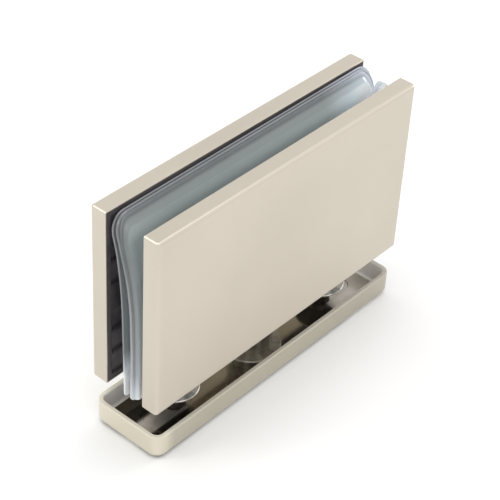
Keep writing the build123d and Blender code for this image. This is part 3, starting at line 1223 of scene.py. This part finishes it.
@dataclass
class GripPad:
    """A black rubber pad with rows of moulded pockets, set into a clamp plate."""

    name: str
    node: str
    side: Side
    border: float = 1.3 * MM
    rib: float = 0.9 * MM
    web: float = 0.5 * MM
    draft: float = 0.1 * MM
    rows: int = 7
    columns: int = 12
    cell_slack: float = 0.2 * MM
    island_half: float = 18.1 * MM
    island_top: float = 42.1 * MM
    edge_break: float = 0.12 * MM
    sharp_angle: float = 40.0

    def cells(self, shape: bmesh.types.BMesh, low: Vector, high: Vector) -> list[bmesh.types.BMFace]:
        """Cut the sheet along the middle of every rib and find the whole cells.

        Args:
            shape: The flat sheet.
            low: Lowest corner of the pad.
            high: Highest corner of the pad.

        Returns:
            The faces that become pockets.
        """
        column = (high.x - low.x - 2 * self.border + self.rib) / self.columns
        row = (high.z - low.z - 2 * self.border + self.rib) / self.rows
        first_x = low.x + self.border - self.rib / 2
        first_z = low.z + self.border - self.rib / 2
        for number in range(self.columns + 1):
            cut(shape, Axis.X, first_x + column * number)
        for number in range(self.rows + 1):
            cut(shape, Axis.Z, first_z + row * number)
        turn_faces(shape, self.side.pocket_way)
        whole = []
        for face in shape.faces:
            along = [vert.co.x for vert in face.verts]
            up = [vert.co.z for vert in face.verts]
            misfits = abs(max(along) - min(along) - column), abs(max(up) - min(up) - row)
            if max(misfits) < self.cell_slack:
                whole.append(face)
        return whole

    def build(self) -> bpy.types.Object:
        """Model the pad and dress it.

        Returns:
            The piece.
        """
        low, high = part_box(self.node)
        depth = high.y - low.y
        shape = flat_outline((low.x, low.z), (high.x, high.z))
        cut_notch(shape, self.island_half, self.island_top)
        pockets = self.cells(shape, low, high)
        for inset, sunk in ((self.rib / 2, 0.0), (self.draft, self.web - depth)):
            bmesh.ops.inset_individual(
                shape, faces=pockets, thickness=inset, depth=sunk, use_even_offset=True
            )
        skirt = new_verts(bmesh.ops.extrude_edge_only(shape, edges=open_edges(shape)))
        bmesh.ops.translate(shape, vec=-depth * self.side.pocket_way, verts=skirt)
        bmesh.ops.holes_fill(shape, edges=open_edges(shape), sides=0)
        seat = high.y if self.side is Side.FRONT else low.y
        bmesh.ops.translate(shape, vec=Axis.Y.unit * seat, verts=shape.verts)
        outer = [e for e in corner_edges(shape) if all(abs(v.co.y - seat) < MICRON for v in e.verts)]
        round_edges(shape, outer, self.edge_break)
        piece = make_piece(self.name, shape, self.sharp_angle)
        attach(piece, "leaf")
        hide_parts(self.node)
        piece.data.materials.append(MouldedRubber("black_rubber_" + self.node).build())
        return piece


# ------------------------------------------------------------------ slot slides


@dataclass
class SlotSlide:
    """A polished steel slide that fills a floor slot round its screw."""

    name: str
    screw: str
    # The polished floor's finish, with its painted shade.
    finish: PaintedShadeFloor
    slot_length: float = 16.0 * MM
    slot_width: float = 5.7 * MM
    slot_shift: float = 2.75 * MM
    end_segments: int = 48
    bore: float = 2.78 * MM
    bore_segments: int = 40
    bore_share: float = 0.97
    gap: float = 0.06 * MM
    lower: float = 0.25 * MM
    upper: float = 1.08 * MM
    edge_break: float = 0.12 * MM
    sharp_angle: float = 12.0

    def plan(self, screw_x: float) -> bmesh.types.BMesh:
        """Make the flat outline: a slot shape with a round hole for the screw.

        Args:
            screw_x: Place of the screw along the tray.

        Returns:
            The flat face at the slide's upper side, which looks up.
        """
        middle = screw_x + math.copysign(self.slot_shift, screw_x)
        radius = self.slot_width / 2 - self.gap
        reach = (self.slot_length - self.slot_width) / 2
        shape = bmesh.new()
        ring = bmesh.ops.create_circle(shape, segments=self.end_segments, radius=radius)["verts"]
        far = [vert for vert in ring if vert.co.x > MICRON]
        near = [vert for vert in ring if vert.co.x <= MICRON]
        hole = bmesh.ops.create_circle(shape, segments=self.bore_segments, radius=self.bore)["verts"]
        for x, verts in ((middle + reach, far), (middle - reach, near), (screw_x, hole)):
            bmesh.ops.translate(shape, vec=Vector((x, 0, self.upper)), verts=verts)
        bmesh.ops.triangle_fill(shape, use_beauty=True, use_dissolve=False, edges=shape.edges[:])
        axis = Vector((screw_x, 0))
        middles = [(face, face.calc_center_median().xy) for face in shape.faces]
        inside = [face for face, place in middles if (place - axis).length < self.bore * self.bore_share]
        bmesh.ops.delete(shape, geom=inside, context="FACES")
        turn_faces(shape, Axis.Z.unit)
        return shape

    def build(self) -> bpy.types.Object:
        """Model the slide and dress it.

        Returns:
            The piece.
        """
        low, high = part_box(self.screw)
        shape = self.plan((low.x + high.x) / 2)
        lower = new_verts(bmesh.ops.extrude_face_region(shape, geom=shape.faces[:]))
        bmesh.ops.translate(shape, vec=Axis.Z.unit * (self.lower - self.upper), verts=lower)
        bmesh.ops.recalc_face_normals(shape, faces=shape.faces)
        on_top = [e for e in corner_edges(shape) if all(vert.co.z > self.upper - MICRON for vert in e.verts)]
        round_edges(shape, on_top, self.edge_break)
        piece = make_piece(self.name, shape, self.sharp_angle)
        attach(piece, "base")
        piece.data.materials.append(self.finish.build())
        return piece


# ------------------------------------------------------------------ metal parts


@dataclass
class MetalWork:
    """The machined and cast parts, which keep their meshes and are given their finishes."""

    plates: tuple[str, ...] = ("front_plate", "rear_plate")
    floor_screws: tuple[str, ...] = ("left_floor_screw", "right_floor_screw")
    fittings: tuple[str, ...] = (
        "left_clamp_screw",
        "right_clamp_screw",
        "left_block_screw",
        "right_block_screw",
        "pivot_post",
    )
    acetal_parts: tuple[str, ...] = ("pivot_bushing", "thrust_washer")
    tray_wall: float = 1.2 * MM
    head_rim: float = 0.5 * MM
    bright_steel: Colour = (0.82, 0.79, 0.73)
    grey_steel: Colour = (0.42, 0.39, 0.33)

    def dress(self, nodes: dict[str, bpy.types.Object]) -> None:
        """Give every metal and acetal node its finish.

        Args:
            nodes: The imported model's nodes by name.
        """
        satin = SatinNickel("satin_nickel").build()
        for name in self.plates:
            self.set_finish(nodes[name], satin)
        self.set_finish(nodes["floor_tray"], self.tray_finish().build())
        for name in self.floor_screws + self.fittings:
            self.set_finish(nodes[name], self.steel_finish(name).build())
        self.set_finish(nodes["pivot_block"], MachinedBrass("brass").build())
        acetal = NaturalAcetal("acetal").build()
        for name in self.acetal_parts:
            self.set_finish(nodes[name], acetal)

    def tray_finish(self) -> TrayNickel:
        """The tray's plating, fitted to its inner walls.

        Returns:
            The finish.
        """
        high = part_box("floor_tray")[1]
        inner = (high.x - self.tray_wall / 2, high.y - self.tray_wall / 2)
        return TrayNickel("satin_nickel_tray", inner_half=inner)

    def steel_finish(self, name: str) -> TurnedSteel:
        """The steel of one turned part, centred on it.

        Args:
            name: Name of the part's node.

        Returns:
            The finish.
        """
        low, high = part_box(name)
        centre = (low + high) / 2
        if name in self.floor_screws:
            # The floor screws' heads get painted shade below their rims.
            return TurnedSteel("polished_steel_" + name, centre, self.bright_steel, high.z - self.head_rim)
        return TurnedSteel("polished_steel_" + name, centre, self.grey_steel)

    def set_finish(self, node: bpy.types.Object, finish: bpy.types.Material) -> None:
        """Put one finish in every material slot of a node.

        Args:
            node: The node's object.
            finish: The material.
        """
        if not node.material_slots:
            node.data.materials.append(finish)
        for slot in node.material_slots:
            slot.material = finish
        LOG.info("dressed %s", node.name)


# ------------------------------------------------------------------ studio


@dataclass
class SoftBox:
    """One large soft lamp that is aimed at the hinge."""

    name: str
    place: Vector
    size: float
    power: float
    colour: Colour = WHITE
    aim: Vector = Vector((0.0, 0.0, 30.0)) * MM

    def build(self) -> None:
        """Make the lamp and aim it."""
        lamp = bpy.data.lights.new(self.name, "AREA")
        lamp.shape = "SQUARE"
        lamp.size = self.size
        lamp.energy = self.power
        lamp.color = self.colour
        holder = bpy.data.objects.new(self.name, lamp)
        holder.location = self.place
        holder.rotation_euler = (self.aim - self.place).to_track_quat("-Z", "Y").to_euler()
        bpy.context.scene.collection.objects.link(holder)


@dataclass
class Studio:
    """Floor, sky, lamps and camera."""

    floor_half: float = 6.0
    floor_gap: float = 50 * MICRON
    sky: float = 0.82
    flag_half: Vector = Vector((0.115, 0.07, 0.0))
    flag_place: Vector = Vector((0.505, 0.455, 0.65))
    lens: float = 115.864
    sensor: float = 36.0
    clip: Span = (0.01, 50.0)
    sharp_angle: float = 30.0
    azimuth: float = 50.681
    elevation: float = 38.229
    roll: float = -3.513
    place: Vector = Vector((-237.888, -193.034, 274.092)) * MM

    def make_floor(self) -> None:
        """Make the plain floor just under the tray."""
        shape = bmesh.new()
        bmesh.ops.create_grid(shape, x_segments=1, y_segments=1, size=self.floor_half)
        bmesh.ops.translate(shape, vec=Vector((0, 0, -self.floor_gap)), verts=shape.verts)
        floor = make_piece("studio_floor", shape, self.sharp_angle)
        floor.data.materials.append(StudioPaint("studio_white").build())

    def make_sky(self) -> None:
        """Make an even sky: white to the eye, in gloss and through glass, and plain light otherwise."""
        world = bpy.data.worlds.new("studio_sky")
        world.use_nodes = True
        tree = world.node_tree
        tree.nodes.clear()
        path = tree.nodes.new("ShaderNodeLightPath")
        seen = path.outputs["Is Camera Ray"]
        for kind in ("Is Glossy Ray", "Is Transmission Ray"):
            either = tree.nodes.new("ShaderNodeMath")
            either.operation = "MAXIMUM"
            tree.links.new(seen, either.inputs[0])
            tree.links.new(path.outputs[kind], either.inputs[1])
            seen = either.outputs[0]
        mixer = tree.nodes.new("ShaderNodeMixShader")
        tree.links.new(seen, mixer.inputs[0])
        for place, strength in ((1, self.sky), (2, 1.0)):
            light = tree.nodes.new("ShaderNodeBackground")
            light.inputs["Strength"].default_value = strength
            light.inputs["Color"].default_value = (*WHITE, 1.0)
            tree.links.new(light.outputs[0], mixer.inputs[place])
        output = tree.nodes.new("ShaderNodeOutputWorld")
        tree.links.new(mixer.outputs[0], output.inputs["Surface"])
        bpy.context.scene.world = world

    def make_lamps(self) -> None:
        """Make the soft lamps."""
        for lamp in (
            SoftBox("overhead_lamp", Vector((0.1, 0.1, 1.2)), 0.8, 5.5),
            SoftBox("key_lamp", Vector((-0.8, 0.65, 0.8)), 0.45, 2.9, (0.98, 1.0, 0.94)),
            SoftBox("side_lamp", Vector((1.0, -0.28, 0.34)), 0.3, 2.0),
            SoftBox("fill_lamp", Vector((-0.35, -0.75, 0.75)), 0.5, 0.9),
        ):
            lamp.build()

    def make_flag(self) -> None:
        """Make the small dark card that gives the polished floor of the tray something to mirror."""
        shape = bmesh.new()
        bmesh.ops.create_grid(shape, x_segments=1, y_segments=1, size=1.0)
        bmesh.ops.reverse_faces(shape, faces=shape.faces)
        size = Matrix.Diagonal((self.flag_half.x, self.flag_half.y, 1.0, 1.0))
        bmesh.ops.transform(shape, matrix=Matrix.Translation(self.flag_place) @ size, verts=shape.verts)
        flag = make_piece("studio_flag", shape, self.sharp_angle)
        flag.data.materials.append(StudioPaint("studio_black", (0.02, 0.02, 0.02)).build())

    def make_camera(self) -> None:
        """Make the camera at its fitted place."""
        turn, rise, lean = (math.radians(v) for v in (self.azimuth, self.elevation, self.roll))
        ahead = Vector((math.sin(turn) * math.cos(rise), math.cos(turn) * math.cos(rise), -math.sin(rise)))
        right = Vector((math.cos(turn), -math.sin(turn), 0.0))
        down = ahead.cross(right)
        across = math.cos(lean) * right + math.sin(lean) * down
        below = -math.sin(lean) * right + math.cos(lean) * down
        data = bpy.data.cameras.new("studio_camera")
        data.lens = self.lens
        data.sensor_width = self.sensor
        data.clip_start, data.clip_end = self.clip
        camera = bpy.data.objects.new("studio_camera", data)
        basis = Matrix((across, -below, -ahead)).transposed().to_4x4()
        camera.matrix_world = Matrix.Translation(self.place) @ basis
        bpy.context.scene.collection.objects.link(camera)
        bpy.context.scene.camera = camera

    def build(self) -> None:
        """Make the whole studio."""
        self.make_camera()
        self.make_floor()
        self.make_sky()
        self.make_lamps()
        self.make_flag()
        bpy.context.scene.view_settings.view_transform = "Standard"
        LOG.info("built the studio")


def main() -> None:
    """Build the studio and the hinge in order."""
    logging.basicConfig(level=logging.INFO, format="%(message)s")
    Studio().build()
    MetalWork().dress(frame["nodes"])
    for side in Side:
        place = side.name.lower()
        pad = GripPad(place + "_grip_pad", place + "_pad", side)
        LOG.info("built %s", pad.build().name)
    for piece in GasketSet().build():
        LOG.info("built %s", piece.name)
    for side in ("left", "right"):
        # The slides share the floor's painted shade.
        finish = PaintedShadeFloor("polished_slide_" + side)
        slide = SlotSlide(side + "_slot_slide", side + "_floor_screw", finish)
        LOG.info("built %s", slide.build().name)


if __name__ == "__main__":
    main()
